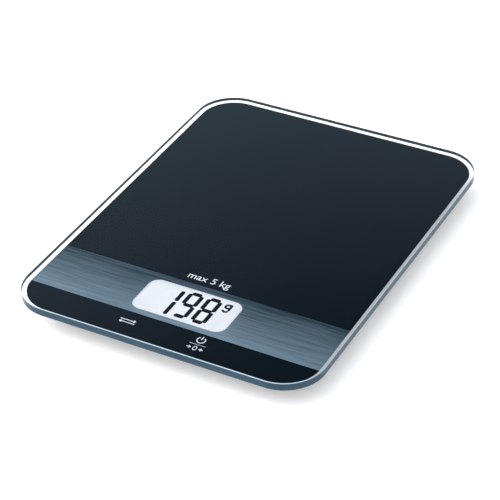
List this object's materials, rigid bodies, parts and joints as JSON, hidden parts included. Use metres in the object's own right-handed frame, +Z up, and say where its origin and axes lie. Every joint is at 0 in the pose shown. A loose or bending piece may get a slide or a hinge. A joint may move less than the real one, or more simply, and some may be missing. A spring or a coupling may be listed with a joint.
{
  "type": "kitchen scale",
  "caption": "Slim electronic kitchen scale: glass weighing platform with a brushed display band and touch keys, on a low casing with sprung load-cell feet.",
  "frame": {"origin": "on the surface the scale stands on, under the centre of the glass", "axes": "+Z up; X is the width; Y is the depth, with the display and keys towards -Y"},
  "size_m": [0.1526, 0.2, 0.017],
  "materials": {
    "clear_glass": "clear polished",
    "black_print": "gloss black print behind glass",
    "brushed_foil": "brushed along the width",
    "foam_tape": "foam tape",
    "black_casing": "fine moulded texture",
    "foot_rubber": "soft matt rubber",
    "spring_steel": "stamped",
    "screw_steel": "zinc plated",
    "gauge_sealant": "silicone",
    "lead_insulation": "flexible plastic",
    "board_laminate": "solder mask",
    "chip_resin": "epoxy",
    "crystal_can": "drawn can",
    "capacitor_body": "matt ceramic",
    "display_glass": "clear",
    "display_film": "pale satin film",
    "display_reflector": "matt silver",
    "display_frame": "white moulded",
    "gasket_foam": "closed-cell foam",
    "zebra_rubber": "striped silicone",
    "cell_steel": "bright steel can",
    "label_foil": "blank foil label",
    "display_segment": "dark display segments",
    "white_print": "white print behind glass"
  },
  "bodies": {
    "platform": {"glass_platform": "clear_glass", "rear_print": "black_print", "front_print": "black_print", "brushed_band": "brushed_foil", "mounting_tape": "foam_tape", "chassis": "black_casing", "bottom_cover": "black_casing", "case_screws": "screw_steel", "load_cell_screws": "screw_steel", "board_screws": "screw_steel", "circuit_board": "board_laminate", "controller_chip": "chip_resin", "crystal": "crystal_can", "capacitors": "capacitor_body", "lcd_front_plate": "display_glass", "lcd_rear_plate": "display_glass", "lcd_polariser": "display_film", "lcd_reflector": "display_reflector", "lcd_frame": "display_frame", "lcd_gasket": "gasket_foam", "zebra_strip": "zebra_rubber", "coin_cell": "cell_steel", "top_contact": "spring_steel", "side_contact": "spring_steel", "rating_label": "label_foil", "unit_key_spring": "spring_steel", "tare_key_spring": "spring_steel", "load_cell_front_left": "spring_steel", "strain_gauge_front_left": "gauge_sealant", "sensor_lead_front_left": "lead_insulation", "load_cell_front_right": "spring_steel", "strain_gauge_front_right": "gauge_sealant", "sensor_lead_front_right": "lead_insulation", "load_cell_rear_left": "spring_steel", "strain_gauge_rear_left": "gauge_sealant", "sensor_lead_rear_left": "lead_insulation", "load_cell_rear_right": "spring_steel", "strain_gauge_rear_right": "gauge_sealant", "sensor_lead_rear_right": "lead_insulation"},
    "foot_front_left": {"foot_cap_front_left": "black_casing", "foot_pad_front_left": "foot_rubber", "foot_screw_front_left": "screw_steel"},
    "foot_front_right": {"foot_cap_front_right": "black_casing", "foot_pad_front_right": "foot_rubber", "foot_screw_front_right": "screw_steel"},
    "foot_rear_left": {"foot_cap_rear_left": "black_casing", "foot_pad_rear_left": "foot_rubber", "foot_screw_rear_left": "screw_steel"},
    "foot_rear_right": {"foot_cap_rear_right": "black_casing", "foot_pad_rear_right": "foot_rubber", "foot_screw_rear_right": "screw_steel"},
    "battery_door": {"battery_door": "black_casing"}
  },
  "joints": [
    {"name": "foot_front_left_travel", "type": "slide", "parent": "platform", "child": "foot_front_left", "axis": [0, 0, 1], "range_m": [0, 0.0004], "stiffness_N_per_m": 36000, "deforming": ["load_cell_front_left"]},
    {"name": "foot_front_right_travel", "type": "slide", "parent": "platform", "child": "foot_front_right", "axis": [0, 0, 1], "range_m": [0, 0.0004], "stiffness_N_per_m": 36000, "deforming": ["load_cell_front_right"]},
    {"name": "foot_rear_left_travel", "type": "slide", "parent": "platform", "child": "foot_rear_left", "axis": [0, 0, 1], "range_m": [0, 0.0004], "stiffness_N_per_m": 36000, "deforming": ["load_cell_rear_left"]},
    {"name": "foot_rear_right_travel", "type": "slide", "parent": "platform", "child": "foot_rear_right", "axis": [0, 0, 1], "range_m": [0, 0.0004], "stiffness_N_per_m": 36000, "deforming": ["load_cell_rear_right"]},
    {"name": "battery_door_hinge", "type": "hinge", "parent": "platform", "child": "battery_door", "pos_m": [0, -0.016, 0.0047], "axis": [1, 0, 0], "range_deg": [0, 95]}
  ]
}
